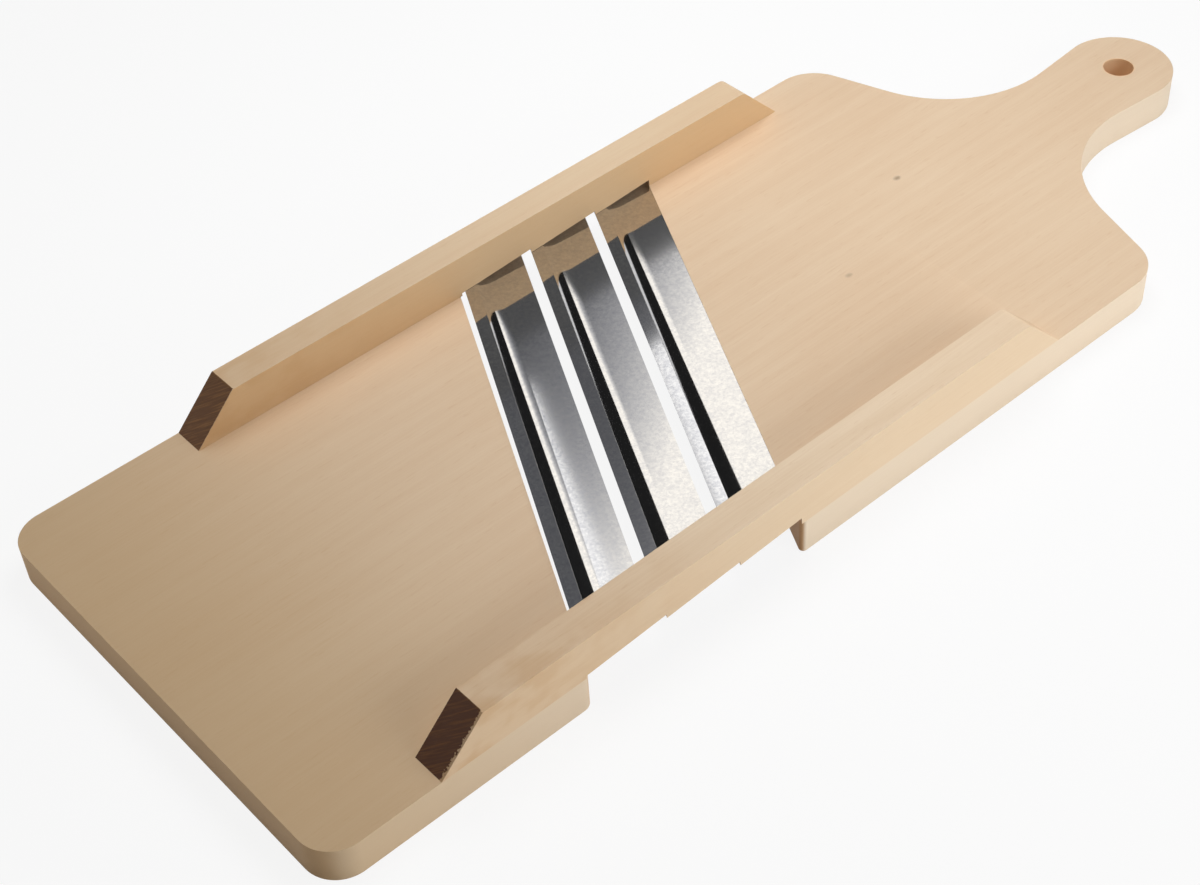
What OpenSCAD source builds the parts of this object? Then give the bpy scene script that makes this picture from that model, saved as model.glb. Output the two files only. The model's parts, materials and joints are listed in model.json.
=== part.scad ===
// Wooden cabbage cutter: two boards bridged by guide rails, with three oblique steel knives between them.
// Lengths run along X from the plain end to the handle, +Y is the far side, the boards rest on Z = 0.

/* [Boards] */
// Overall length, plain end to tip of the handle
board_len = 461; // [440:1:540]
// Width of both boards
board_w = 170; // [150:1:210]
// Thickness of both boards
board_t = 13.5; // [11:0.5:20]
// Length of the front board along the centre line
front_len = 137.7; // [120:0.1:160]
// Radius of the two corners at the plain end
corner_r = 12; // [4:1:25]
// Radius of the front board's corners at the knife opening
opening_r = 4; // [1:0.5:8]
// Radius of the rear board's corners at the knife opening
rear_opening_r = 1.5; // [0.5:0.5:8]

/* [Handle] */
// Radius of the rounded shoulders of the rear board
shoulder_r = 16.5; // [8:0.5:24]
// Lean of the straight edge from shoulder to hollow curve, from straight across
shoulder_lean = 18; // [8:1:30]
// Radius of the hollow curve from shoulder to grip
hollow_r = 48; // [36:1:60]
// Width of the grip at its narrowest
grip_w = 37; // [30:0.5:46]
// How far the rounded grip end stands out past the narrowest part, each side
grip_flare = 2; // [0:0.25:4]
// Length from the narrowest part to the centre of the grip end
grip_len = 27.5; // [24:0.5:45]
// Diameter of the hang hole
hang_d = 11.5; // [6:0.5:18]

/* [Rails] */
// Width of a guide rail
rail_w = 12; // [9:0.5:18]
// Height of a guide rail above the boards
rail_h = 16.5; // [14:0.5:26]
// Slant of the rail ends, from the board surface
rail_end_angle = 45; // [35:1:80]
// Radius of the upper corner at the rear end of a rail
rail_nose_r = 5; // [1:0.5:8]
// Length of the near rail that lies on the front board
near_front_lap = 57.5; // [46:0.5:72]
// Length of the near rail that lies on the rear board
near_rear_lap = 118; // [95:0.5:130]
// Length of the far rail that lies on the front board
far_front_lap = 112; // [95:1:128]

/* [Knives] */
// Angle of the knives from straight across
knife_angle = 27.2; // [0:0.1:35]
// How much squarer than the knives the front board is cut
front_skew = 0.5; // [0:0.1:0.6]
// Thickness of the knife sheet
sheet_t = 1; // [0.6:0.1:1.6]
// Width of the raised land that carries the cutting edge
land_w = 4.6; // [4.4:0.1:8]
// Width of the curved ramp from the land down to the flat
ramp_w = 8; // [6:0.1:12]
// Width of the flat behind the ramp
flat_w = 10.5; // [6:0.1:16]
// Height of the rear edge of the land above the flat
ramp_drop = 1.3; // [0.8:0.1:2.5]
// How soon the ramp levels out: 1 is a straight slope
ramp_curve = 3.6; // [2:0.1:5]
// Width of the ground bevel under the cutting edge
bevel_w = 1.6; // [1:0.1:2]
// Tilt of the land and its seat, rising towards the handle; the flat lies level
knife_tilt = 3.5; // [0:0.1:4]
// Height of the cutting edges over the boards
edge_lift = 1.2; // [0.3:0.1:2]
// Open gap in front of the middle and rear cutting edges
throat_gap = 3.7; // [2:0.1:6]
// Open gap between the front board and the first cutting edge, on the centre line
first_gap = 1.25; // [1:0.05:4]
// Distance of the knife ends from the sides of the boards
knife_inset = 3.4; // [0.5:0.1:4]

/* [Fasteners] */
// Diameter of a knife nail
nail_d = 1.6; // [1:0.1:2]
// Diameter of a knife nail's head
nail_head_d = 3.2; // [2.2:0.1:3.4]
// Thickness of a knife nail's head
nail_head_h = 0.7; // [0.4:0.1:1.2]
// Length of a knife nail above the knife
nail_len = 10; // [6:0.5:12]
// Distance between the two nails at one knife end
nail_pitch = 4.5; // [4:0.25:5]
// Diameter of a rail screw
screw_d = 3.5; // [2.5:0.5:5]
// Diameter of a rail screw's countersunk head
screw_head_d = 7; // [6:0.5:9]
// Length of a rail screw
screw_len = 24; // [18:1:25]
// Length of a rail screw's pointed tip
screw_tip = 3; // [1:0.5:4]
// Width of the driver slot in a screw head
driver_w = 1; // [0.6:0.1:1.4]
// Depth of the driver slot in a screw head
driver_depth = 1; // [0.5:0.1:1.4]
// Distance of a screw from the end of its rail
screw_end_gap = 18; // [16:1:22]
// Distance of a screw from the knife opening
screw_opening_gap = 13; // [11:1:20]

/* [Clearances] */
// Gap between a knife land and its seat in the rail
seat_gap = 0.1; // [0:0.05:0.3]
// Gap between the rear knife and the rear board
end_gap = 0.2; // [0.1:0.1:1]
// Play on the diameter of a nail or screw in its hole
hole_play = 0.1; // [0.05:0.05:0.4]
// Depth of the screw heads below the underside of the boards
head_sink = 0.3; // [0.1:0.1:1]

/* [Hidden] */
$fn = 64;
arc_step = 3;
ramp_steps = 12;
through = 1;
near = -1;
far = 1;
sides = [near, far];
knife_count = 3;

// Knife bank, measured square to the cutting edges
knife_w = land_w + ramp_w + flat_w;
knife_pitch = knife_w + throat_gap;
opening_w = first_gap + (knife_count - 1) * knife_pitch + knife_w + end_gap;
opening_len = opening_w / cos(knife_angle);
seat_z = board_t + edge_lift;
nail_u = (bevel_w + land_w) / 2;
nail_y = (board_w - rail_w - knife_inset) / 2;

// Handle: centres of the grip end, the hollow curves and the shoulders
grip_r = grip_w / 2 + grip_flare;
grip_end = [board_len - grip_r, 0];
hollow = [grip_end.x - grip_len, grip_w / 2 + hollow_r];
shoulder_y = board_w / 2 - shoulder_r;
curve_span = shoulder_r + hollow_r;
shoulder_edge = (shoulder_y - hollow.y + curve_span * sin(shoulder_lean)) / cos(shoulder_lean);
shoulder_run = curve_span * cos(shoulder_lean) + shoulder_edge * sin(shoulder_lean);
shoulder = [hollow.x - shoulder_run, shoulder_y];

// Direction square to the edge where the hollow curve meets the grip
grip_span = hollow - grip_end;
grip_normal = heading(grip_span) - acos((hollow_r + grip_r) / norm(grip_span));

// Rails, both of one length, the far one never past the shoulder
rail_y = (board_w - rail_w) / 2;
rail_len = min(
    near_front_lap + opening_rear(-rail_y) - opening_front(-rail_y) + near_rear_lap,
    shoulder.x - rail_start(far)
);
rail_slant = rail_h / tan(rail_end_angle);

// Screws
screw_head_h = (screw_head_d - screw_d) / 2;

wood = [0.88, 0.77, 0.62];
rail_wood = [0.83, 0.69, 0.52];
steel = [0.72, 0.74, 0.77];
dark_steel = [0.5, 0.5, 0.52];

// Front and rear edge of the knife opening at a distance y from the centre line
function opening_front(y) = front_len + y * tan(knife_angle - front_skew);
function opening_rear(y) = front_len + opening_len + y * tan(knife_angle);
function rail_start(side) =
    opening_front(side * rail_y) - (side == near ? near_front_lap : far_front_lap);

function unit(v) = v / norm(v);
function heading(v) = atan2(v.y, v.x);
function reversed(list) = [for (i = [len(list) - 1 : -1 : 0]) list[i]];
function but_last(list) = [for (i = [0 : len(list) - 2]) list[i]];

// Points along an arc, both ends included
function arc(centre, r, from, to) =
    let (steps = ceil(abs(to - from) / arc_step))
    [for (i = [0 : steps])
        let (a = from + (to - from) * i / steps)
        centre + r * [cos(a), sin(a)]];

// Arc that rounds corner b of an anticlockwise outline, between a and c
function round_corner(a, b, c, r) =
    let (
        back = unit(a - b),
        ahead = unit(c - b),
        half = acos(back * ahead) / 2,
        centre = b + unit(back + ahead) * r / sin(half),
        start = heading(b + back * r / tan(half) - centre)
    )
    arc(centre, r, start, start + 180 - 2 * half);

// Screw places along a rail: two over each board
function screw_xs(side) = [
    rail_start(side) + screw_end_gap,
    opening_front(side * rail_y) - screw_opening_gap,
    opening_rear(side * rail_y) + screw_opening_gap,
    rail_start(side) + rail_len - screw_end_gap
];

// Fall of a knife's top behind the land, for a share of the ramp's width
function ramp_fall(share) = ramp_drop * (1 - pow(1 - share, ramp_curve));

// Top line of a knife from the rear edge of the land to the rear of the flat
function knife_top() = [
    for (i = [0 : ramp_steps + 1])
        let (
            share = min(i / ramp_steps, 1),
            run = i > ramp_steps ? ramp_w + flat_w : share * ramp_w
        )
        [land_w + run, -run * tan(knife_tilt) - ramp_fall(share)]
];

module from_middle() {
    translate([-board_len / 2, 0, 0])
        children();
}

// Frame of one knife: X square to its edge, Y along it, Z = 0 at the rail seat
module at_knife(index) {
    edge_offset = first_gap + index * knife_pitch;
    translate([opening_front(0) + edge_offset / cos(knife_angle), 0, seat_z])
        rotate([0, 0, -knife_angle])
            rotate([0, -knife_tilt, 0])
                children();
}

// Two nails at each end of one knife
module at_nails(index) {
    for (side = sides, step = [-1, 1])
        let (y = side * nail_y + step * nail_pitch / 2)
        at_knife(index)
            translate([nail_u, (y + nail_u * sin(knife_angle)) / cos(knife_angle), -seat_gap])
                children();
}

module at_screws(side) {
    for (x = screw_xs(side))
        translate([x, side * rail_y, head_sink])
            children();
}

// Countersunk screw, head down, grown by the play for use as its hole
module screw_shape(play) {
    cylinder(d1 = screw_head_d + play, d2 = screw_d + play, h = screw_head_h);
    cylinder(d = screw_d + play, h = screw_len - screw_tip + play);
    translate([0, 0, screw_len - screw_tip + play])
        cylinder(d1 = screw_d + play, d2 = 0, h = screw_tip);
}

module screw_hole() {
    screw_shape(hole_play);
    translate([0, 0, -head_sink - through])
        cylinder(d = screw_head_d + hole_play, h = head_sink + through);
}

module nail_hole() {
    translate([0, 0, -ramp_drop - through])
        cylinder(d = nail_d + hole_play, h = ramp_drop + through + nail_len + hole_play);
}

// Front board seen from above: two large corners at the plain end, two small ones at the opening
module front_outline() {
    half_w = board_w / 2;
    points = [
        [0, -half_w], [opening_front(-half_w), -half_w],
        [opening_front(half_w), half_w], [0, half_w]
    ];
    radii = [corner_r, opening_r, opening_r, corner_r];
    polygon([for (i = [0 : 3])
        each round_corner(points[(i + 3) % 4], points[i], points[(i + 1) % 4], radii[i])]);
}

module front_board() {
    color(wood)
        from_middle()
            difference() {
                linear_extrude(board_t)
                    front_outline();
                for (side = sides)
                    at_screws(side)
                        screw_hole();
            }
}

// Rear board seen from above: round grip end, hollow curves, rounded shoulders and opening edge
module rear_outline() {
    half_w = board_w / 2;
    near_end = [opening_rear(-half_w), -half_w];
    far_end = [opening_rear(half_w), half_w];
    far_edge = concat(
        arc(grip_end, grip_r, 0, grip_normal),
        arc(hollow, hollow_r, grip_normal + 180, shoulder_lean + 180),
        arc(shoulder, shoulder_r, shoulder_lean, 90)
    );
    near_edge = [for (p = reversed(far_edge)) [p.x, -p.y]];
    polygon(concat(
        but_last(near_edge),
        far_edge,
        round_corner([shoulder.x, half_w], far_end, near_end, rear_opening_r),
        round_corner(far_end, near_end, [shoulder.x, -half_w], rear_opening_r)
    ));
}

module rear_board() {
    color(wood)
        from_middle()
            difference() {
                linear_extrude(board_t)
                    rear_outline();
                translate([grip_end.x, grip_end.y, -through])
                    cylinder(d = hang_d, h = board_t + 2 * through);
                for (side = sides)
                    at_screws(side)
                        screw_hole();
            }
}

// Saw-tooth seats: one sloping facet over each knife, up to the next cutting edge
module knife_seats() {
    for (i = [0 : knife_count - 1]) {
        seat_from = i == 0 ? -first_gap : 0;
        seat_to = i == knife_count - 1 ? knife_w + end_gap : knife_pitch;
        at_knife(i)
            rotate([90, 0, 0])
                linear_extrude(2 * board_w, center = true)
                    polygon([
                        [seat_from, -edge_lift - through], [seat_from, 0],
                        [seat_to, 0], [seat_to, -edge_lift - seat_to * tan(knife_tilt) - through]
                    ]);
    }
}

// Rail seen from the side: both ends slanted, the upper rear corner rounded
module rail_outline() {
    front_foot = [0, 0];
    rear_foot = [rail_len, 0];
    rear_top = [rail_len - rail_slant, rail_h];
    front_top = [rail_slant, rail_h];
    polygon(concat(
        [front_foot, rear_foot],
        round_corner(rear_foot, rear_top, front_top, rail_nose_r),
        [front_top]
    ));
}

module rail(side) {
    color(rail_wood)
        from_middle()
            difference() {
                translate([rail_start(side), side * rail_y + rail_w / 2, board_t])
                    rotate([90, 0, 0])
                        linear_extrude(rail_w)
                            rail_outline();
                knife_seats();
                for (i = [0 : knife_count - 1])
                    at_nails(i)
                        nail_hole();
                at_screws(side)
                    screw_hole();
            }
}

module near_rail() {
    rail(near);
}

module far_rail() {
    rail(far);
}

// Sheet section: raised land with the cutting edge, ramp, bend and flat
module knife_section() {
    top = knife_top();
    below = [for (p = reversed(top)) p - [0, sheet_t]];
    polygon(concat([[0, 0]], top, below, [[bevel_w, -sheet_t]]));
}

module knife(index) {
    knife_span = board_w - 2 * knife_inset;
    color(steel)
        from_middle()
            difference() {
                intersection() {
                    at_knife(index)
                        translate([0, 0, -seat_gap])
                            rotate([90, 0, 0])
                                linear_extrude(2 * board_w, center = true)
                                    knife_section();
                    translate([0, -knife_span / 2, 0])
                        cube([board_len, knife_span, seat_z + board_t]);
                }
                at_nails(index)
                    nail_hole();
            }
}

module front_knife() {
    knife(0);
}

module middle_knife() {
    knife(1);
}

module rear_knife() {
    knife(2);
}

module knife_nails() {
    color(dark_steel)
        from_middle()
            for (i = [0 : knife_count - 1])
                at_nails(i) {
                    translate([0, 0, -sheet_t - nail_head_h])
                        cylinder(d = nail_head_d, h = nail_head_h);
                    translate([0, 0, -sheet_t - nail_head_h / 2])
                        cylinder(d = nail_d, h = sheet_t + nail_head_h / 2 + nail_len);
                }
}

module rail_screws() {
    color(dark_steel)
        from_middle()
            for (side = sides)
                at_screws(side)
                    difference() {
                        screw_shape(0);
                        translate([-screw_head_d / 2, -driver_w / 2, -through])
                            cube([screw_head_d, driver_w, driver_depth + through]);
                    }
}

front_board();
rear_board();
near_rail();
far_rail();
front_knife();
middle_knife();
rear_knife();
knife_nails();
rail_screws();
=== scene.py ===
"""Wooden cabbage cutter: two lime boards, two rails that bridge them, and three bent knives in the gap."""

import json
import math

import bmesh
import bpy
from mathutils import Matrix, Vector

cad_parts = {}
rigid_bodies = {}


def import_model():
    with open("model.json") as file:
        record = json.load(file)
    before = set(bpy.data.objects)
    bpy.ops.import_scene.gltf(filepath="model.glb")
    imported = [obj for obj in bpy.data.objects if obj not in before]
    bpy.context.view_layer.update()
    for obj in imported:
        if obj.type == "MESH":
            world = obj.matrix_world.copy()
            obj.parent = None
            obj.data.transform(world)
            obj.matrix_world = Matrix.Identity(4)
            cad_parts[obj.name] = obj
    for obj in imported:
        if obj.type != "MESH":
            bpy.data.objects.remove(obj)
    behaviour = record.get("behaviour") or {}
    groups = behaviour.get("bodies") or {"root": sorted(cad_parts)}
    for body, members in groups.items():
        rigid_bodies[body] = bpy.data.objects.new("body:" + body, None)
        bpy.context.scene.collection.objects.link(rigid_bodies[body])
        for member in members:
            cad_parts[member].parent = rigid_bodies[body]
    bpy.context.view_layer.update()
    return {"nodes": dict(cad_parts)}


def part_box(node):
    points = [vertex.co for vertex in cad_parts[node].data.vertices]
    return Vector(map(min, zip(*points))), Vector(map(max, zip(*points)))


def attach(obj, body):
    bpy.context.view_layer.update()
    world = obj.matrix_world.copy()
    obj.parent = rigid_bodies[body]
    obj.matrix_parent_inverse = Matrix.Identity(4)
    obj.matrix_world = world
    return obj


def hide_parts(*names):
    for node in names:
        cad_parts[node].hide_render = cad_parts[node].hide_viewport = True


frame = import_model()

# Boards: two planed lime planks, the rear one sawn to a paddle handle with a hang hole.
# Their outer edges are rounded off with sandpaper; the screw holes underneath stay sharp.

MM = 0.001
SAME_POINT = 0.001 * MM
SAME_LEVEL = 0.01 * MM
FLAT_ANGLE = math.radians(0.3)
SHARP_ANGLE = math.radians(34)
BOARD_EASE = 0.45 * MM
EASE_STEPS = 3
KNIFE_ANGLE = math.radians(27.2)
BOARD_SIDE, BOARD_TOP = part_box("front_board")[1].yz
RIM_ANGLE = math.radians(60)
SAWN_EDGE_L = 50 * MM
SCREW_HEAD_CLEAR = 5 * MM


def solids_of(node):
    """Lowest and highest corner of each separate solid of a CAD node, from left to right."""
    bm = bmesh.new()
    bm.from_mesh(frame["nodes"][node].data)
    bmesh.ops.remove_doubles(bm, verts=bm.verts, dist=SAME_POINT)
    waiting = set(bm.verts)
    corners = []
    while waiting:
        open_ends = [waiting.pop()]
        points = []
        while open_ends:
            vert = open_ends.pop()
            points.append(vert.co.copy())
            for edge in vert.link_edges:
                other = edge.other_vert(vert)
                if other in waiting:
                    waiting.remove(other)
                    open_ends.append(other)
        corners.append((Vector(map(min, zip(*points))), Vector(map(max, zip(*points)))))
    bm.free()
    return sorted(corners, key=lambda c: (round(c[0].y, 4), c[0].x))


def eased_copy(node, name, ease, picked, cuts=()):
    """A copy of a CAD node in which the picked edges are rounded off and carry the attribute eased.

    cuts are the places along X where long edges are parted first, so that a stretch can stay sharp.
    """
    mesh = bpy.data.meshes.new(name)
    bm = bmesh.new()
    bm.from_mesh(frame["nodes"][node].data)
    bmesh.ops.remove_doubles(bm, verts=bm.verts, dist=SAME_POINT)
    bmesh.ops.dissolve_limit(bm, angle_limit=FLAT_ANGLE, verts=bm.verts, edges=bm.edges)
    for cut in cuts:
        everything = bm.verts[:] + bm.edges[:] + bm.faces[:]
        bmesh.ops.bisect_plane(bm, geom=everything, plane_co=(cut, 0, 0), plane_no=(1, 0, 0))
    eased = bm.faces.layers.float.new("eased")
    edges = [edge for edge in bm.edges if edge.is_manifold and picked(edge)]
    rounded = bmesh.ops.bevel(
        bm, geom=edges, offset=ease, segments=EASE_STEPS, profile=0.5, affect="EDGES",
        clamp_overlap=True)
    for face in rounded["faces"]:
        face[eased] = 1
    for face in bm.faces:
        face.smooth = True
    bm.to_mesh(mesh)
    bm.free()
    mesh.set_sharp_from_angle(angle=SHARP_ANGLE)
    piece = bpy.data.objects.new(name, mesh)
    bpy.context.scene.collection.objects.link(piece)
    flats = piece.modifiers.new("Flat faces stay flat", "WEIGHTED_NORMAL")
    flats.keep_sharp = True
    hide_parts(node)
    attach(piece, "root")
    return piece


screws = solids_of("rail_screws")
screw_axes = [(low + high).to_2d() / 2 for low, high in screws]
near_rail_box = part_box("near_rail")
far_rail_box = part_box("far_rail")
rail_ends = [corner.x for corner in near_rail_box + far_rail_box]


def board_rim(edge):
    """True on the outline and the hang hole, false on the knife opening, at the rails and at screw holes."""
    middle = (edge.verts[0].co + edge.verts[1].co) / 2
    is_corner = edge.calc_face_angle() > RIM_ANGLE
    on_face = abs(edge.verts[0].co.z - edge.verts[1].co.z) < SAME_LEVEL
    along = (edge.verts[1].co - edge.verts[0].co).normalized()
    is_slanted = abs(along.x - math.tan(KNIFE_ANGLE) * along.y) < 0.02
    is_sawn = is_slanted and edge.calc_length() > SAWN_EDGE_L
    is_screw_hole = any((middle.to_2d() - axis).length < SCREW_HEAD_CLEAR for axis in screw_axes)
    rail_low, rail_high = far_rail_box if middle.y > 0 else near_rail_box
    on_top_side = middle.z > BOARD_TOP - SAME_LEVEL and abs(middle.y) > BOARD_SIDE - SAME_LEVEL
    is_at_rail = on_top_side and rail_low.x < middle.x < rail_high.x
    return is_corner and on_face and not (is_sawn or is_screw_hole or is_at_rail)


front_board = eased_copy("front_board", "front_board_lime", BOARD_EASE, board_rim, rail_ends)
rear_board = eased_copy("rear_board", "rear_board_lime", BOARD_EASE, board_rim, rail_ends)


def linear(colour):
    """Linear RGBA of an sRGB hex colour."""
    channels = [int(colour[i:i + 2], 16) / 255 for i in (1, 3, 5)]
    return [c / 12.92 if c <= 0.04045 else ((c + 0.055) / 1.055) ** 2.4 for c in channels] + [1]


def add(tree, kind, inputs=None, **settings):
    """A node with its settings, and its inputs set to a value or linked from another node's output."""
    made = tree.nodes.new(kind)
    for name, value in settings.items():
        setattr(made, name, value)
    for name, value in (inputs or {}).items():
        if isinstance(value, bpy.types.NodeSocket):
            tree.links.new(value, made.inputs[name])
        else:
            made.inputs[name].default_value = value
    return made


RING_GAP = 7 * MM
RING_WANDER = 34 * MM
RING_SWING = 22 * MM
RING_LEAN = math.radians(24)
FIBRE_W = 0.7 * MM
FLECK_W = 0.9 * MM
CLOUD_W = 38 * MM
GRAIN_DEPTH = 0.06 * MM
LIME_IOR = 1.46


def lime_wood(name, pale, tan, side_tone_and_light, end_grain, plank):
    """Sanded lime: a pale, even wood with faint growth bands, fine fibres along X and short darker flecks.

    The sides take a tone of their own, which holds painted light: the boards' pale, whiter side tone is
    painted bounce light from the white table, and the far rail's warm side tone is painted shade. plank is
    the place in the tree that the piece is cut from. Returns the material, the socket of the place and the
    shader, so that a piece can add its own marks.
    """
    material = bpy.data.materials.new(name)
    material.use_nodes = True
    tree = material.node_tree
    tree.nodes.clear()
    place = add(tree, "ShaderNodeTexCoord")
    cut = add(tree, "ShaderNodeMapping", {"Vector": place.outputs["Object"], "Location": plank})

    # Growth bands, wandering slowly along the plank
    slow = add(tree, "ShaderNodeMapping", {
        "Vector": cut.outputs[0], "Rotation": (RING_LEAN, 0, 0), "Scale": (1 / 14, 1, 1)})
    wander = add(tree, "ShaderNodeTexNoise", {
        "Vector": slow.outputs[0], "Scale": 1 / RING_WANDER, "Detail": 3, "Roughness": 0.5})
    swing = add(tree, "ShaderNodeVectorMath", {
        0: wander.outputs["Color"], 1: (0, RING_SWING, RING_SWING), 2: slow.outputs[0]},
        operation="MULTIPLY_ADD")
    bands = add(tree, "ShaderNodeTexWave", {
        "Vector": swing.outputs[0], "Scale": math.pi / 10 / RING_GAP, "Distortion": 0.6, "Detail": 2,
        "Detail Scale": 2}, bands_direction="Y", wave_profile="SIN")

    # Fibres drawn out 40 times along the grain, and flecks drawn out to about 6 mm
    along = add(tree, "ShaderNodeMapping", {"Vector": cut.outputs[0], "Scale": (1 / 40, 1, 1)})
    fibres = add(tree, "ShaderNodeTexNoise", {
        "Vector": along.outputs[0], "Scale": 1 / FIBRE_W, "Detail": 4, "Roughness": 0.6})
    short = add(tree, "ShaderNodeMapping", {"Vector": cut.outputs[0], "Scale": (1 / 7, 1, 1)})
    fleck_field = add(tree, "ShaderNodeTexNoise", {
        "Vector": short.outputs[0], "Scale": 1 / FLECK_W, "Detail": 1, "Roughness": 0.4})
    flecks = add(tree, "ShaderNodeMapRange", {
        "Value": fleck_field.outputs["Fac"], "From Min": 0.64, "From Max": 0.76},
        interpolation_type="SMOOTHSTEP")
    broad = add(tree, "ShaderNodeMapping", {"Vector": cut.outputs[0], "Scale": (1 / 3, 1, 1)})
    clouds = add(tree, "ShaderNodeTexNoise", {
        "Vector": broad.outputs[0], "Scale": 1 / CLOUD_W, "Detail": 4, "Roughness": 0.55})

    # The layers, each with its weight, add up to one tone between the pale and the tan wood
    layers = (
        (bands.outputs["Fac"], 0.07), (fibres.outputs["Fac"], 0.42),
        (clouds.outputs["Fac"], 0.55), (flecks.outputs[0], 0.16))
    tone = 0.0
    for layer, weight in layers:
        added = add(tree, "ShaderNodeMath", {0: layer, 1: weight, 2: tone}, operation="MULTIPLY_ADD")
        tone = added.outputs[0]
    share = add(tree, "ShaderNodeMapRange", {"Value": tone, "From Min": 0.34, "From Max": 0.92})
    wood = add(tree, "ShaderNodeMix", {
        "Factor": share.outputs[0], 6: linear(pale), 7: linear(tan)}, data_type="RGBA")

    # The sides get a tone of their own: on the boards a paler, whiter tone that is painted bounce light from
    # the white table, on the far rail a warmer, darker tone that is painted shade
    facing = add(tree, "ShaderNodeSeparateXYZ", {"Vector": place.outputs["Normal"]})
    sideways = add(tree, "ShaderNodeMath", {0: facing.outputs["Y"]}, operation="ABSOLUTE")
    is_side = add(tree, "ShaderNodeMapRange", {
        "Value": sideways.outputs[0], "From Min": 0.6, "From Max": 0.95, "To Max": 0.6})
    wood = add(tree, "ShaderNodeMix", {
        "Factor": is_side.outputs[0], 6: wood.outputs[2], 7: linear(side_tone_and_light)}, data_type="RGBA")

    # Cut fibres drink in light, so faces square to the grain are browner
    across = add(tree, "ShaderNodeMath", {0: facing.outputs["X"]}, operation="ABSOLUTE")
    is_end = add(tree, "ShaderNodeMapRange", {
        "Value": across.outputs[0], "From Min": 0.45, "From Max": 0.98}, interpolation_type="SMOOTHSTEP")
    ends = add(tree, "ShaderNodeMix", {
        "Factor": is_end.outputs[0], 6: wood.outputs[2], 7: linear(end_grain)}, data_type="RGBA")

    # Sanded corners are a little lighter than the faces: partly freshly sanded wood, partly a painted
    # highlight where the rounded edges catch the light
    corner = add(tree, "ShaderNodeAttribute", attribute_name="eased")
    lighter = add(tree, "ShaderNodeMath", {0: corner.outputs["Fac"], 1: 0.1}, operation="MULTIPLY")
    colour = add(tree, "ShaderNodeMix", {
        "Factor": lighter.outputs[0], 6: ends.outputs[2], 7: linear(pale)}, data_type="RGBA")

    height = add(tree, "ShaderNodeMath", {
        0: flecks.outputs[0], 1: -0.5, 2: fibres.outputs["Fac"]}, operation="MULTIPLY_ADD")
    bump = add(tree, "ShaderNodeBump", {
        "Height": height.outputs[0], "Strength": 0.25, "Distance": GRAIN_DEPTH})
    rough = add(tree, "ShaderNodeMapRange", {
        "Value": fibres.outputs["Fac"], "To Min": 0.5, "To Max": 0.72})
    surface = add(tree, "ShaderNodeBsdfPrincipled", {
        "Base Color": colour.outputs[2], "Roughness": rough.outputs[0], "Normal": bump.outputs[0],
        "IOR": LIME_IOR, "Specular IOR Level": 0.35})
    add(tree, "ShaderNodeOutputMaterial", {"Surface": surface.outputs[0]})
    return material, place.outputs["Object"], surface


PALE_LIME = "#E8CFB1"
TAN_LIME = "#DBBA98"
# The boards' sides are painted paler and whiter, as painted bounce light from the white table
LIME_SIDE_PAINTED_BOUNCE = "#E7DAC5"
LIME_END = "#C4986C"
front_wood, front_place, front_surface = lime_wood(
    "sanded_lime_front", PALE_LIME, TAN_LIME, LIME_SIDE_PAINTED_BOUNCE, LIME_END, (0.31, 0.05, 0.02))


def marked(material, surface, mark, colour):
    """Lays a mark of one colour over what the material shows so far; mark is its strength from 0 to 1."""
    tree = material.node_tree
    under = surface.inputs["Base Color"].links[0].from_socket
    over = add(tree, "ShaderNodeMix", {"Factor": mark, 6: under, 7: linear(colour)}, data_type="RGBA")
    tree.links.new(over.outputs[2], surface.inputs["Base Color"])


# The front board grows warmer and darker towards its plain end: partly the wood's own warmer tone, partly
# painted shade where the light falls off towards that end
WARM_LIME_AND_SHADE = "#CFAE80"
WARM_SHADE_FROM = -95 * MM
WARM_SHADE_TO = -240 * MM
front_tree = front_wood.node_tree
front_spot = add(front_tree, "ShaderNodeSeparateXYZ", {"Vector": front_place})
warmth_and_shade = add(front_tree, "ShaderNodeMapRange", {
    "Value": front_spot.outputs["X"], "From Min": WARM_SHADE_FROM, "From Max": WARM_SHADE_TO, "To Max": 0.62},
    interpolation_type="SMOOTHSTEP")
marked(front_wood, front_surface, warmth_and_shade.outputs[0], WARM_LIME_AND_SHADE)
front_board.data.materials.append(front_wood)

# Two pin knots in the rear board, drawn out along the grain: centre, half width, strength
PIN_KNOTS = (((99.4 * MM, 12.5 * MM), 0.95 * MM, 0.6), ((47.4 * MM, -13.2 * MM), 0.9 * MM, 0.32))
KNOT_STRETCH = 1.5
KNOT_FRAY = 1.2 * MM
KNOT_BROWN = "#6F5230"
rear_wood, rear_place, rear_surface = lime_wood(
    "sanded_lime_rear", PALE_LIME, TAN_LIME, LIME_SIDE_PAINTED_BOUNCE, LIME_END, (0.02, 0.41, 0.07))
rear_tree = rear_wood.node_tree
for (knot_x, knot_y), knot_r, knot_strength in PIN_KNOTS:
    flat = add(rear_tree, "ShaderNodeMapping", {
        "Vector": rear_place, "Scale": (1 / KNOT_STRETCH, 1, 0),
        "Location": (-knot_x / KNOT_STRETCH, -knot_y, 0)})
    reach = add(rear_tree, "ShaderNodeVectorMath", {0: flat.outputs[0]}, operation="LENGTH")
    ragged = add(rear_tree, "ShaderNodeTexNoise", {
        "Vector": rear_place, "Scale": 1 / KNOT_FRAY, "Detail": 2})
    edge = add(rear_tree, "ShaderNodeMath", {
        0: ragged.outputs["Fac"], 1: KNOT_FRAY / 2, 2: reach.outputs["Value"]}, operation="MULTIPLY_ADD")
    mark = add(rear_tree, "ShaderNodeMapRange", {
        "Value": edge.outputs[0], "From Min": 0.5 * knot_r, "From Max": 1.9 * knot_r,
        "To Min": knot_strength, "To Max": 0.0}, interpolation_type="SMOOTHSTEP")
    marked(rear_wood, rear_surface, mark.outputs[0], KNOT_BROWN)
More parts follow.
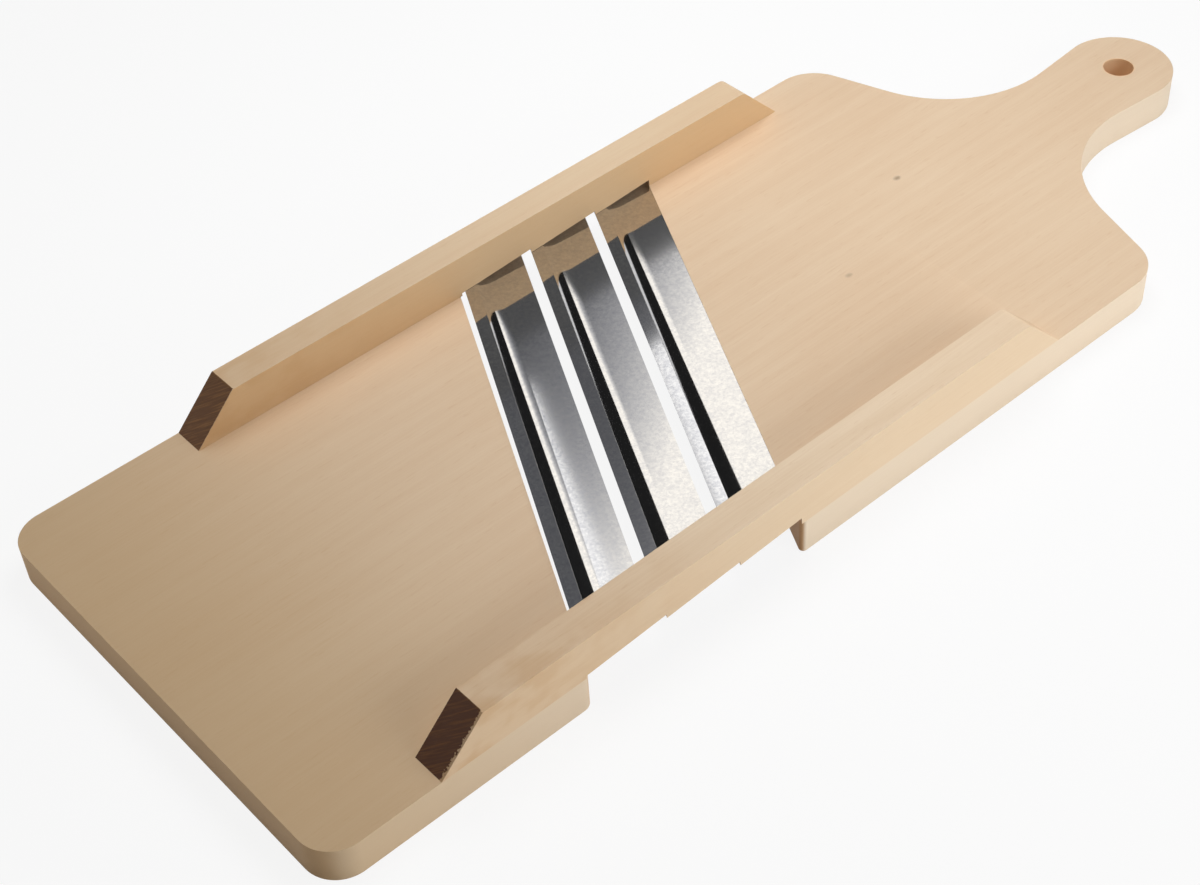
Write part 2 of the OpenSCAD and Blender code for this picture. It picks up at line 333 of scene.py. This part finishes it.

# The wall of the hang hole is painted lighter and warmer: the wood's own warm tone, with painted light where
# shade inside the hole would darken it
HANG_HOLE = (210 * MM, 0, 0)
HANG_HOLE_R = 5.75 * MM
HOLE_SKIN = 0.05 * MM
HOLE_WALL_TONE_AND_LIGHT = "#F0C79A"
drilled = add(rear_tree, "ShaderNodeVectorMath", {0: rear_place, 1: HANG_HOLE}, operation="SUBTRACT")
level = add(rear_tree, "ShaderNodeVectorMath", {
    0: drilled.outputs[0], 1: (1, 1, 0)}, operation="MULTIPLY")
reach = add(rear_tree, "ShaderNodeVectorMath", {0: level.outputs[0]}, operation="LENGTH")
wall = add(rear_tree, "ShaderNodeMapRange", {
    "Value": reach.outputs["Value"], "From Min": HANG_HOLE_R + HOLE_SKIN,
    "From Max": HANG_HOLE_R + BOARD_EASE, "To Min": 0.8, "To Max": 0.0})
marked(rear_wood, rear_surface, wall.outputs[0], HOLE_WALL_TONE_AND_LIGHT)
rear_board.data.materials.append(rear_wood)

# Rails: two planed lime sticks, sawn off at 45 degrees and screwed to both boards from below.
# The front ends are dark brown, partly saw scorch and partly painted shade; the upper edges are lightly
# sanded.

RAIL_EASE = 0.7 * MM
RAIL_EDGE_ANGLE = math.radians(30)
SEATED = BOARD_TOP + 1 * MM


def rail_rim(edge):
    """True on the upper edges and the slanted ends, and false on the seats underneath."""
    is_corner = edge.calc_face_angle() > RAIL_EDGE_ANGLE
    return is_corner and max(vert.co.z for vert in edge.verts) > SEATED


# For each rail: its name, its plank, the tones of its faces and sides, the dark front end (saw scorch with
# painted shade) and its lighter streaks, and how far the near edge of the dark end is chipped
rails = {
    "near_rail": (
        "near_rail_lime", (0.62, 0.17, 0.33), "#EDD6B9", "#E1C8A6", "#462409", "#633D1B", 1.6 * MM),
    "far_rail": (
        # The far rail's side tone is painted shade, warmed as painted bounce light from the boards
        "far_rail_lime", (0.12, 0.73, 0.51), "#E4CBAB", "#DAB684", "#5F3C1C", "#80582F", 0.3 * MM),
}
RAIL_TAN = "#D9B995"
RAIL_END = "#C9A47C"
RAIL_WARM_AND_SHADE = "#C89B67"
RAIL_WARM_SHADE_FROM = -75 * MM
RAIL_WARM_SHADE_TO = -190 * MM
PATCH_W = 9 * MM
DARK_END_DEPTH = 0.35 * MM
DARK_END_FRAY = 0.8 * MM
SAW_LINE = 0.6 * MM
SAW_LINE_LEN = 12 * MM
ASKEW = 0.707
for node, (name, plank, face, side_tone_and_light, scorch_and_shade_tone, streaked, chip) in rails.items():
    rail = eased_copy(node, name, RAIL_EASE, rail_rim)
    wood, wood_place, wood_surface = lime_wood(
        "planed_" + name, face, RAIL_TAN, side_tone_and_light, RAIL_END, plank)
    tree = wood.node_tree
    low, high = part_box(node)

    # Towards the front the rails are warmer and darker, in soft patches some 13 mm long: partly the wood's
    # own tone, partly painted shade where the light falls off towards the front
    spot = add(tree, "ShaderNodeSeparateXYZ", {"Vector": wood_place})
    patch_field = add(tree, "ShaderNodeMapping", {
        "Vector": wood_place, "Scale": (1 / 1.5, 1, 1), "Location": plank})
    patch_noise = add(tree, "ShaderNodeTexNoise", {
        "Vector": patch_field.outputs[0], "Scale": 1 / PATCH_W, "Detail": 2, "Roughness": 0.5})
    patches = add(tree, "ShaderNodeMapRange", {
        "Value": patch_noise.outputs["Fac"], "From Min": 0.38, "From Max": 0.66,
        "To Min": 0.35, "To Max": 1.0}, interpolation_type="SMOOTHSTEP")
    forward = add(tree, "ShaderNodeMapRange", {
        "Value": spot.outputs["X"], "From Min": RAIL_WARM_SHADE_FROM, "From Max": RAIL_WARM_SHADE_TO, "To Max": 0.62})
    warmth_and_shade = add(tree, "ShaderNodeMath", {
        0: forward.outputs[0], 1: patches.outputs[0]}, operation="MULTIPLY")
    marked(wood, wood_surface, warmth_and_shade.outputs[0], RAIL_WARM_AND_SHADE)

    # Dark front end, saw scorch with painted shade: a thin skin on the slanted front end, chipped along its
    # near edge
    climb = add(tree, "ShaderNodeMath", {0: spot.outputs["X"], 1: spot.outputs["Z"]}, operation="SUBTRACT")
    depth = add(tree, "ShaderNodeMath", {
        0: climb.outputs[0], 1: low.x - BOARD_TOP}, operation="SUBTRACT")
    ragged = add(tree, "ShaderNodeTexNoise", {
        "Vector": wood_place, "Scale": 1 / DARK_END_FRAY, "Detail": 3})
    skin = add(tree, "ShaderNodeMath", {
        0: ragged.outputs["Fac"], 1: -0.6 * DARK_END_DEPTH, 2: depth.outputs[0]}, operation="MULTIPLY_ADD")
    on_end = add(tree, "ShaderNodeMapRange", {
        "Value": skin.outputs[0], "From Min": 0.3 * DARK_END_DEPTH, "From Max": DARK_END_DEPTH,
        "To Min": 1.0, "To Max": 0.0}, interpolation_type="SMOOTHSTEP")
    inward = add(tree, "ShaderNodeMath", {
        0: ragged.outputs["Fac"], 1: -2 * chip, 2: spot.outputs["Y"]}, operation="MULTIPLY_ADD")
    unchipped = add(tree, "ShaderNodeMapRange", {
        "Value": inward.outputs[0], "From Min": low.y - 0.55 * chip, "From Max": low.y - 0.35 * chip})
    scorch_and_shade = add(tree, "ShaderNodeMath", {
        0: on_end.outputs[0], 1: unchipped.outputs[0]}, operation="MULTIPLY")
    marked(wood, wood_surface, scorch_and_shade.outputs[0], scorch_and_shade_tone)

    # Saw lines run askew over the dark front end
    over = add(tree, "ShaderNodeVectorMath", {
        0: wood_place, 1: (0.5, ASKEW, 0.5)}, operation="DOT_PRODUCT")
    down = add(tree, "ShaderNodeVectorMath", {
        0: wood_place, 1: (0.5, -ASKEW, 0.5)}, operation="DOT_PRODUCT")
    askew = add(tree, "ShaderNodeCombineXYZ", {"X": over.outputs["Value"], "Y": down.outputs["Value"]})
    drawn = add(tree, "ShaderNodeMapping", {
        "Vector": askew.outputs[0], "Scale": (1 / SAW_LINE, 1 / SAW_LINE_LEN, 1)})
    saw_lines = add(tree, "ShaderNodeTexNoise", {"Vector": drawn.outputs[0], "Scale": 1.0, "Detail": 2})
    line = add(tree, "ShaderNodeMapRange", {
        "Value": saw_lines.outputs["Fac"], "From Min": 0.45, "From Max": 0.7},
        interpolation_type="SMOOTHSTEP")
    lines = add(tree, "ShaderNodeMath", {0: scorch_and_shade.outputs[0], 1: line.outputs[0]}, operation="MULTIPLY")
    marked(wood, wood_surface, lines.outputs[0], streaked)
    rail.data.materials.append(wood)

# Knives: three strips of bright tinned sheet steel, folded to a raised land and a lower flat.
# The front edge of each land is ground sharp; the strips are nailed up against the rails.

CREASE_ROUND = 0.08 * MM
CREASE_LEAST = math.radians(20)
CREASE_MOST = math.radians(40)
CREASE_LEN = 100 * MM
KNIFE_NODES = ("front_knife", "middle_knife", "rear_knife")


def knife_crease(edge):
    """True on the fold lines between land and ramp."""
    return CREASE_LEAST < edge.calc_face_angle() < CREASE_MOST and edge.calc_length() > CREASE_LEN


# Tinned sheet steel: a slightly soft mirror, mottled in grains about 1 mm wide, with faint rolling
# lines along the strip. Its relief is a fraction of a micron deep and only blurs what it mirrors.
MOTTLE_W = 1.3 * MM
ROLL_LINE_W = 0.5 * MM
ROLL_LINE_STRETCH = 45
TIN_RELIEF = 0.0002 * MM
steel = bpy.data.materials.new("bright_tinned_sheet_steel")
steel.use_nodes = True
steel_tree = steel.node_tree
steel_tree.nodes.clear()
place = add(steel_tree, "ShaderNodeTexCoord")
strip = add(steel_tree, "ShaderNodeMapping", {
    "Vector": place.outputs["Object"], "Rotation": (0, 0, KNIFE_ANGLE)})
mottle = add(steel_tree, "ShaderNodeTexNoise", {
    "Vector": strip.outputs[0], "Scale": 1 / MOTTLE_W, "Detail": 4, "Roughness": 0.65,
    "Distortion": 0.4})
drawn = add(steel_tree, "ShaderNodeMapping", {
    "Vector": strip.outputs[0], "Scale": (1, 1 / ROLL_LINE_STRETCH, 1)})
streaks = add(steel_tree, "ShaderNodeTexNoise", {
    "Vector": drawn.outputs[0], "Scale": 1 / ROLL_LINE_W, "Detail": 3, "Roughness": 0.6})
grains = add(steel_tree, "ShaderNodeMapRange", {
    "Value": mottle.outputs["Fac"], "From Min": 0.34, "From Max": 0.66})
steel_colour = add(steel_tree, "ShaderNodeMix", {
    "Factor": grains.outputs[0], 6: linear("#B9B9BC"), 7: linear("#CDCCCB")}, data_type="RGBA")
steel_rough = add(steel_tree, "ShaderNodeMapRange", {
    "Value": grains.outputs[0], "To Min": 0.065, "To Max": 0.045})
relief = add(steel_tree, "ShaderNodeMath", {
    0: streaks.outputs["Fac"], 1: 0.3, 2: mottle.outputs["Fac"]}, operation="MULTIPLY_ADD")
steel_bump = add(steel_tree, "ShaderNodeBump", {
    "Height": relief.outputs[0], "Strength": 1.0, "Distance": TIN_RELIEF})
steel_surface = add(steel_tree, "ShaderNodeBsdfPrincipled", {
    "Base Color": steel_colour.outputs[2], "Metallic": 1.0, "Roughness": steel_rough.outputs[0],
    "Normal": steel_bump.outputs[0]})
add(steel_tree, "ShaderNodeOutputMaterial", {"Surface": steel_surface.outputs[0]})
for node in KNIFE_NODES:
    knife = eased_copy(node, node + "_steel", CREASE_ROUND, knife_crease)
    knife.data.materials.append(steel)

# Nails: bright wire nails, two at each knife end, driven up through the land into the rail.
# Only their flat heads show, under the knives.

NAIL_HEAD_D = 3.2 * MM
NAIL_HEAD_H = 0.7 * MM
NAIL_SHANK_D = 1.6 * MM
NAIL_SHANK_L = 11 * MM
NAIL_SIDES = 24
SHANK_SIDES = 16
HEAD_FOOT = 0.42
KNIFE_TILT = math.radians(3.5)
TARNISH_W = 0.6 * MM
TARNISH_DEPTH = 0.03 * MM


def socket_of(tree, name, kind, direction="INPUT"):
    """A new named input or output on the outside of a node group."""
    return tree.interface.new_socket(name=name, in_out=direction, socket_type=kind)


def grow(tree, name, places, values):
    """A plain mesh object of what a node tree grows on the given places."""
    mesh = bpy.data.meshes.new(name + "_places")
    mesh.from_pydata(places, [], [])
    piece = bpy.data.objects.new(name, mesh)
    bpy.context.scene.collection.objects.link(piece)
    grower = piece.modifiers.new("Grow", "NODES")
    grower.node_group = tree
    for item in tree.interface.items_tree:
        if item.in_out == "INPUT" and item.name in values:
            grower[item.identifier] = values[item.name]
    graph = bpy.context.evaluated_depsgraph_get()
    piece.data = bpy.data.meshes.new_from_object(piece.evaluated_get(graph), depsgraph=graph)
    piece.modifiers.clear()
    return piece


def plain_steel(name, colour, dull, rough):
    """Drawn or plated fastener steel, with a faint cloudy tarnish a few tenths of a millimetre wide."""
    material = bpy.data.materials.new(name)
    material.use_nodes = True
    tree = material.node_tree
    tree.nodes.clear()
    place = add(tree, "ShaderNodeTexCoord")
    tarnish = add(tree, "ShaderNodeTexNoise", {
        "Vector": place.outputs["Object"], "Scale": 1 / TARNISH_W, "Detail": 3})
    tint = add(tree, "ShaderNodeMix", {
        "Factor": tarnish.outputs["Fac"], 6: linear(colour), 7: linear(dull)}, data_type="RGBA")
    gloss = add(tree, "ShaderNodeMapRange", {
        "Value": tarnish.outputs["Fac"], "To Min": rough - 0.1, "To Max": rough + 0.1})
    bump = add(tree, "ShaderNodeBump", {
        "Height": tarnish.outputs["Fac"], "Strength": 0.2, "Distance": TARNISH_DEPTH})
    surface = add(tree, "ShaderNodeBsdfPrincipled", {
        "Base Color": tint.outputs[2], "Metallic": 1.0, "Roughness": gloss.outputs[0],
        "Normal": bump.outputs[0]})
    add(tree, "ShaderNodeOutputMaterial", {"Surface": surface.outputs[0]})
    return material


nail_tree = bpy.data.node_groups.new("Knife nails", "GeometryNodeTree")
socket_of(nail_tree, "Places", "NodeSocketGeometry")
for name in ("Head Diameter", "Head Height", "Shank Diameter", "Shank Length"):
    socket_of(nail_tree, name, "NodeSocketFloat")
socket_of(nail_tree, "Lean", "NodeSocketRotation")
socket_of(nail_tree, "Finish", "NodeSocketMaterial")
socket_of(nail_tree, "Nails", "NodeSocketGeometry", "OUTPUT")
given = add(nail_tree, "NodeGroupInput").outputs
head_r = add(nail_tree, "ShaderNodeMath", {0: given["Head Diameter"], 1: 0.5}, operation="MULTIPLY")
rim_r = add(nail_tree, "ShaderNodeMath", {
    0: given["Head Diameter"], 1: HEAD_FOOT}, operation="MULTIPLY")
shank_r = add(nail_tree, "ShaderNodeMath", {0: given["Shank Diameter"], 1: 0.5}, operation="MULTIPLY")
head = add(nail_tree, "GeometryNodeMeshCone", {
    "Vertices": NAIL_SIDES, "Radius Bottom": rim_r.outputs[0], "Radius Top": head_r.outputs[0],
    "Depth": given["Head Height"]})
shank = add(nail_tree, "GeometryNodeMeshCylinder", {
    "Vertices": SHANK_SIDES, "Radius": shank_r.outputs[0], "Depth": given["Shank Length"]})
half_shank = add(nail_tree, "ShaderNodeMath", {
    0: given["Shank Length"], 1: 0.5, 2: given["Head Height"]}, operation="MULTIPLY_ADD")
shank_up = add(nail_tree, "ShaderNodeCombineXYZ", {"Z": half_shank.outputs[0]})
raised = add(nail_tree, "GeometryNodeTransform", {
    "Geometry": shank.outputs["Mesh"], "Translation": shank_up.outputs[0]})
nail = add(nail_tree, "GeometryNodeJoinGeometry")
nail_tree.links.new(head.outputs["Mesh"], nail.inputs[0])
nail_tree.links.new(raised.outputs[0], nail.inputs[0])
driven = add(nail_tree, "GeometryNodeInstanceOnPoints", {
    "Points": given["Places"], "Instance": nail.outputs[0], "Rotation": given["Lean"]})
solid = add(nail_tree, "GeometryNodeRealizeInstances", {0: driven.outputs[0]})
finished = add(nail_tree, "GeometryNodeSetMaterial", {
    "Geometry": solid.outputs[0], "Material": given["Finish"]})
add(nail_tree, "NodeGroupOutput", {"Nails": finished.outputs[0]})

# The head is the widest part of a leaning nail, so the middle of the nail's box is the middle of its head
nail_lean = Matrix.Rotation(-KNIFE_ANGLE, 3, "Z") @ Matrix.Rotation(-KNIFE_TILT, 3, "Y")
head_dip = NAIL_HEAD_D / 2 * math.sin(KNIFE_TILT)
nail_places = []
for low, high in solids_of("knife_nails"):
    middle = (low + high) / 2
    nail_places.append((middle.x, middle.y, low.z + head_dip))
nails = grow(nail_tree, "knife_nail_wire", nail_places, {
    "Head Diameter": NAIL_HEAD_D, "Head Height": NAIL_HEAD_H, "Shank Diameter": NAIL_SHANK_D,
    "Shank Length": NAIL_SHANK_L, "Lean": nail_lean.to_euler(),
    "Finish": plain_steel("bright_wire_nail", "#9C9DA0", "#7E7F83", 0.38)})
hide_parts("knife_nails")
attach(nails, "root")

# Screws: slotted countersunk wood screws, driven up through the boards into the rails.
# Their heads are sunk a little into the undersides, each slot turned its own way.

SCREW_HEAD_D = 7 * MM
SCREW_D = 3.5 * MM
SCREW_HEAD_H = (SCREW_HEAD_D - SCREW_D) / 2
SCREW_SHANK_L = 22.25 * MM
SCREW_TIP_R = 0.4 * MM
SCREW_SIDES = 24
SCREW_HEAD_SIDES = 40
SLOT_W = 1 * MM
SLOT_DEPTH = 1 * MM

screw_tree = bpy.data.node_groups.new("Rail screws", "GeometryNodeTree")
socket_of(screw_tree, "Places", "NodeSocketGeometry")
for name in ("Head Diameter", "Shank Diameter", "Head Height", "Shank Length", "Slot Width", "Slot Depth"):
    socket_of(screw_tree, name, "NodeSocketFloat")
socket_of(screw_tree, "Seed", "NodeSocketInt")
socket_of(screw_tree, "Finish", "NodeSocketMaterial")
socket_of(screw_tree, "Screws", "NodeSocketGeometry", "OUTPUT")
given = add(screw_tree, "NodeGroupInput").outputs
head_r = add(screw_tree, "ShaderNodeMath", {0: given["Head Diameter"], 1: 0.5}, operation="MULTIPLY")
shank_r = add(screw_tree, "ShaderNodeMath", {0: given["Shank Diameter"], 1: 0.5}, operation="MULTIPLY")
head = add(screw_tree, "GeometryNodeMeshCone", {
    "Vertices": SCREW_HEAD_SIDES, "Radius Bottom": head_r.outputs[0], "Radius Top": shank_r.outputs[0],
    "Depth": given["Head Height"]})

# The slot is cut by a box longer than the head and centred on its face, so half its height goes in
slot_size = add(screw_tree, "ShaderNodeCombineXYZ", {
    "X": given["Head Diameter"], "Y": given["Slot Width"], "Z": given["Slot Depth"]})
slot_box = add(screw_tree, "ShaderNodeVectorMath", {
    0: slot_size.outputs[0], 1: (1.2, 1, 2)}, operation="MULTIPLY")
slot = add(screw_tree, "GeometryNodeMeshCube", {"Size": slot_box.outputs[0]})
slotted = add(screw_tree, "GeometryNodeMeshBoolean", {
    "Mesh 1": head.outputs["Mesh"], "Mesh 2": slot.outputs["Mesh"]}, operation="DIFFERENCE")
shank = add(screw_tree, "GeometryNodeMeshCone", {
    "Vertices": SCREW_SIDES, "Radius Bottom": shank_r.outputs[0], "Radius Top": SCREW_TIP_R,
    "Depth": given["Shank Length"]})
shank_up = add(screw_tree, "ShaderNodeCombineXYZ", {"Z": given["Head Height"]})
raised = add(screw_tree, "GeometryNodeTransform", {
    "Geometry": shank.outputs["Mesh"], "Translation": shank_up.outputs[0]})
screw = add(screw_tree, "GeometryNodeJoinGeometry")
screw_tree.links.new(slotted.outputs["Mesh"], screw.inputs[0])
screw_tree.links.new(raised.outputs[0], screw.inputs[0])
turn = add(screw_tree, "FunctionNodeRandomValue", {
    "Min": (0, 0, 0), "Max": (0, 0, math.pi), "Seed": given["Seed"]}, data_type="FLOAT_VECTOR")
driven = add(screw_tree, "GeometryNodeInstanceOnPoints", {
    "Points": given["Places"], "Instance": screw.outputs[0], "Rotation": turn.outputs[0]})
solid = add(screw_tree, "GeometryNodeRealizeInstances", {0: driven.outputs[0]})
finished = add(screw_tree, "GeometryNodeSetMaterial", {
    "Geometry": solid.outputs[0], "Material": given["Finish"]})
add(screw_tree, "NodeGroupOutput", {"Screws": finished.outputs[0]})

screw_places = [(axis.x, axis.y, low.z) for axis, (low, high) in zip(screw_axes, screws)]
screw_steel = grow(screw_tree, "rail_screw_zinc", screw_places, {
    "Head Diameter": SCREW_HEAD_D, "Shank Diameter": SCREW_D, "Head Height": SCREW_HEAD_H,
    "Shank Length": SCREW_SHANK_L, "Slot Width": SLOT_W, "Slot Depth": SLOT_DEPTH, "Seed": 7,
    "Finish": plain_steel("zinc_plated_screw", "#B9B4A2", "#96917F", 0.34)})
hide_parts("rail_screws")
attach(screw_steel, "root")

# Stage: a white table top in a white room, a soft lamp overhead, two in front and a weak one on the left.
# Soft boxes and dark flags stand only in reflections, where they give the steel its sheen.

scene = bpy.context.scene
scene.view_settings.view_transform = "Standard"
cutter = bpy.data.collections.new("cutter")
for piece in scene.objects:
    if piece.type == "MESH":
        cutter.objects.link(piece)


def sheet(name, corners, material):
    """A flat sheet that stands for part of the stage, with its corners in metres."""
    mesh = bpy.data.meshes.new(name)
    mesh.from_pydata(corners, [], [tuple(range(len(corners)))])
    mesh.materials.append(material)
    made = bpy.data.objects.new(name, mesh)
    scene.collection.objects.link(made)
    return made


def seen_directly(tree):
    """A socket that is 1 where the camera, a reflection or a clear material looks straight at the surface."""
    path = add(tree, "ShaderNodeLightPath")
    first = add(tree, "ShaderNodeMath", {
        0: path.outputs["Is Camera Ray"], 1: path.outputs["Is Glossy Ray"]}, operation="MAXIMUM")
    return add(tree, "ShaderNodeMath", {
        0: first.outputs[0], 1: path.outputs["Is Transmission Ray"]}, operation="MAXIMUM").outputs[0]


FLOOR_REACH = 8
FLOOR_GLOW = 0.88
FLOOR_WHITE = "#F4F4F4"
floor_paint = bpy.data.materials.new("white_table_paint")
floor_paint.use_nodes = True
tree = floor_paint.node_tree
tree.nodes.clear()
paint = add(tree, "ShaderNodeBsdfDiffuse", {"Color": linear(FLOOR_WHITE)})
glow = add(tree, "ShaderNodeEmission", {"Color": (1, 1, 1, 1), "Strength": 1.0})
white = add(tree, "ShaderNodeMath", {0: seen_directly(tree), 1: FLOOR_GLOW}, operation="MULTIPLY")
mixed = add(tree, "ShaderNodeMixShader", {0: white.outputs[0], 1: paint.outputs[0], 2: glow.outputs[0]})
add(tree, "ShaderNodeOutputMaterial", {"Surface": mixed.outputs[0]})
sheet("table_top", [
    (-FLOOR_REACH, -FLOOR_REACH, 0), (FLOOR_REACH, -FLOOR_REACH, 0),
    (FLOOR_REACH, FLOOR_REACH, 0), (-FLOOR_REACH, FLOOR_REACH, 0)], floor_paint)

AMBIENT = 0.12
world = bpy.data.worlds.new("white_room")
world.use_nodes = True
scene.world = world
tree = world.node_tree
tree.nodes.clear()
level = add(tree, "ShaderNodeMapRange", {
    "Value": seen_directly(tree), "To Min": AMBIENT, "To Max": 1.0})
sky = add(tree, "ShaderNodeBackground", {"Color": (1, 1, 1, 1), "Strength": level.outputs[0]})
add(tree, "ShaderNodeOutputWorld", {"Surface": sky.outputs[0]})


def lamp(name, spot, width, height, watts):
    """An even rectangular lamp that looks at the middle of the cutter."""
    light = bpy.data.lights.new(name, "AREA")
    light.shape = "RECTANGLE"
    light.size = width
    light.size_y = height
    light.energy = watts
    box = bpy.data.objects.new(name, light)
    turned = (-Vector(spot)).to_track_quat("-Z", "Y")
    box.matrix_world = Matrix.LocRotScale(Vector(spot), turned, None)
    box.visible_camera = False
    scene.collection.objects.link(box)
    return box


overhead = lamp("overhead_lamp", (0.13, 0.08, 0.46), 0.34, 0.34, 1.78)
overhead.visible_glossy = False
lamp("front_lamp", (0.14, -0.55, 0.30), 0.5, 0.2, 1.02)

# The two low lamps light only the cutter, because they would burn out the table beside them
front_strip = lamp("front_strip", (0.12, -0.50, 0.05), 0.8, 0.09, 0.97)
left_fill = lamp("left_fill", (-0.42, 0.27, 0.05), 0.2, 0.08, 0.14)
front_strip.light_linking.receiver_collection = cutter
left_fill.light_linking.receiver_collection = cutter


def card(name, corners, bright):
    """A studio card of even brightness that is met only by reflections; returns its tree and its emission."""
    paint = bpy.data.materials.new(name + "_paint")
    paint.use_nodes = True
    tree = paint.node_tree
    tree.nodes.clear()
    shine = add(tree, "ShaderNodeEmission", {"Color": (1, 1, 1, 1), "Strength": bright})
    add(tree, "ShaderNodeOutputMaterial", {"Surface": shine.outputs[0]})
    hung = sheet(name, corners, paint)
    hung.visible_camera = False
    hung.visible_diffuse = False
    hung.visible_shadow = False
    hung.visible_transmission = False
    return tree, shine


BACK = 2.0
BOX_LEFT = 0.7
BOX_RIGHT = 2.22
BOX_FOOT = 2.16
BOX_HEAD = 3.6
FLAG_FOOT = 1.7
SOFT_BOX = 1.65
BOX_DIM = 0.16
BOX_SLOPE = 0.33
tree, shine = card("back_soft_box", [
    (BOX_LEFT, BACK, BOX_FOOT), (BOX_RIGHT, BACK, BOX_FOOT),
    (BOX_RIGHT, BACK, BOX_HEAD), (BOX_LEFT, BACK, BOX_HEAD)], SOFT_BOX)

# The soft box is bright and a little warm at its right, and falls off to the left along a slant
place = add(tree, "ShaderNodeTexCoord")
spot = add(tree, "ShaderNodeSeparateXYZ", {"Vector": place.outputs["Object"]})
slant = add(tree, "ShaderNodeMath", {
    0: spot.outputs["Z"], 1: BOX_SLOPE, 2: spot.outputs["X"]}, operation="MULTIPLY_ADD")
share = add(tree, "ShaderNodeMapRange", {"Value": slant.outputs[0], "From Min": 1.86, "From Max": 2.64})
fall = add(tree, "ShaderNodeMath", {0: share.outputs[0], 1: 3.0}, operation="POWER")
level = add(tree, "ShaderNodeMapRange", {"Value": fall.outputs[0], "To Min": BOX_DIM, "To Max": SOFT_BOX})
tree.links.new(level.outputs[0], shine.inputs["Strength"])
glow = add(tree, "ShaderNodeMix", {
    "Factor": fall.outputs[0], 6: linear("#F6F8FF"), 7: linear("#FFFBF3")}, data_type="RGBA")
tree.links.new(glow.outputs[2], shine.inputs["Color"])

# A narrow strip light stands just before the soft box, a grey flag below it and a black one beside it
BEFORE_BOX = BACK - 0.01
card("strip_light", [
    (1.33, BEFORE_BOX, 2.27), (1.396, BEFORE_BOX, 2.27),
    (1.572, BEFORE_BOX, 3.0), (1.46, BEFORE_BOX, 3.0)], SOFT_BOX)
card("grey_flag", [
    (BOX_LEFT, BACK, FLAG_FOOT), (BOX_RIGHT, BACK, FLAG_FOOT),
    (BOX_RIGHT, BACK, BOX_FOOT), (BOX_LEFT, BACK, BOX_FOOT)], 0.12)
card("black_flag", [
    (BOX_RIGHT, BACK, FLAG_FOOT), (14, BACK, FLAG_FOOT), (14, BACK, 6.5), (BOX_RIGHT, BACK, 3.5)], 0.02)

# A second soft box stands in front, for views from behind
FRONT = -1.2
card("front_soft_box", [
    (-0.8, FRONT, 0.15), (1.0, FRONT, 0.15), (1.0, FRONT, 1.6), (-0.8, FRONT, 1.6)], 1.6)

# Camera: a long lens over the plain end, looking down along the cutter and rolled a little.
# It was fitted to the edges of the boards and rails in the photograph.

CAMERA_SPOT = Vector((-375.5, -394.61, 489.93)) * MM
CAMERA_AIM = Vector((-60.58, -4.07, 0)) * MM
CAMERA_ROLL = math.radians(-3.792)
CAMERA_LENS = 63.75
SENSOR_W = 36
NEAR_LIMIT = 10 * MM
lens = bpy.data.cameras.new("camera")
lens.lens = CAMERA_LENS
lens.sensor_width = SENSOR_W
lens.clip_start = NEAR_LIMIT
camera = bpy.data.objects.new("camera", lens)
turned = (CAMERA_AIM - CAMERA_SPOT).to_track_quat("-Z", "Y").to_matrix().to_4x4()
camera.matrix_world = Matrix.Translation(CAMERA_SPOT) @ turned @ Matrix.Rotation(CAMERA_ROLL, 4, "Z")
scene.collection.objects.link(camera)
scene.camera = camera
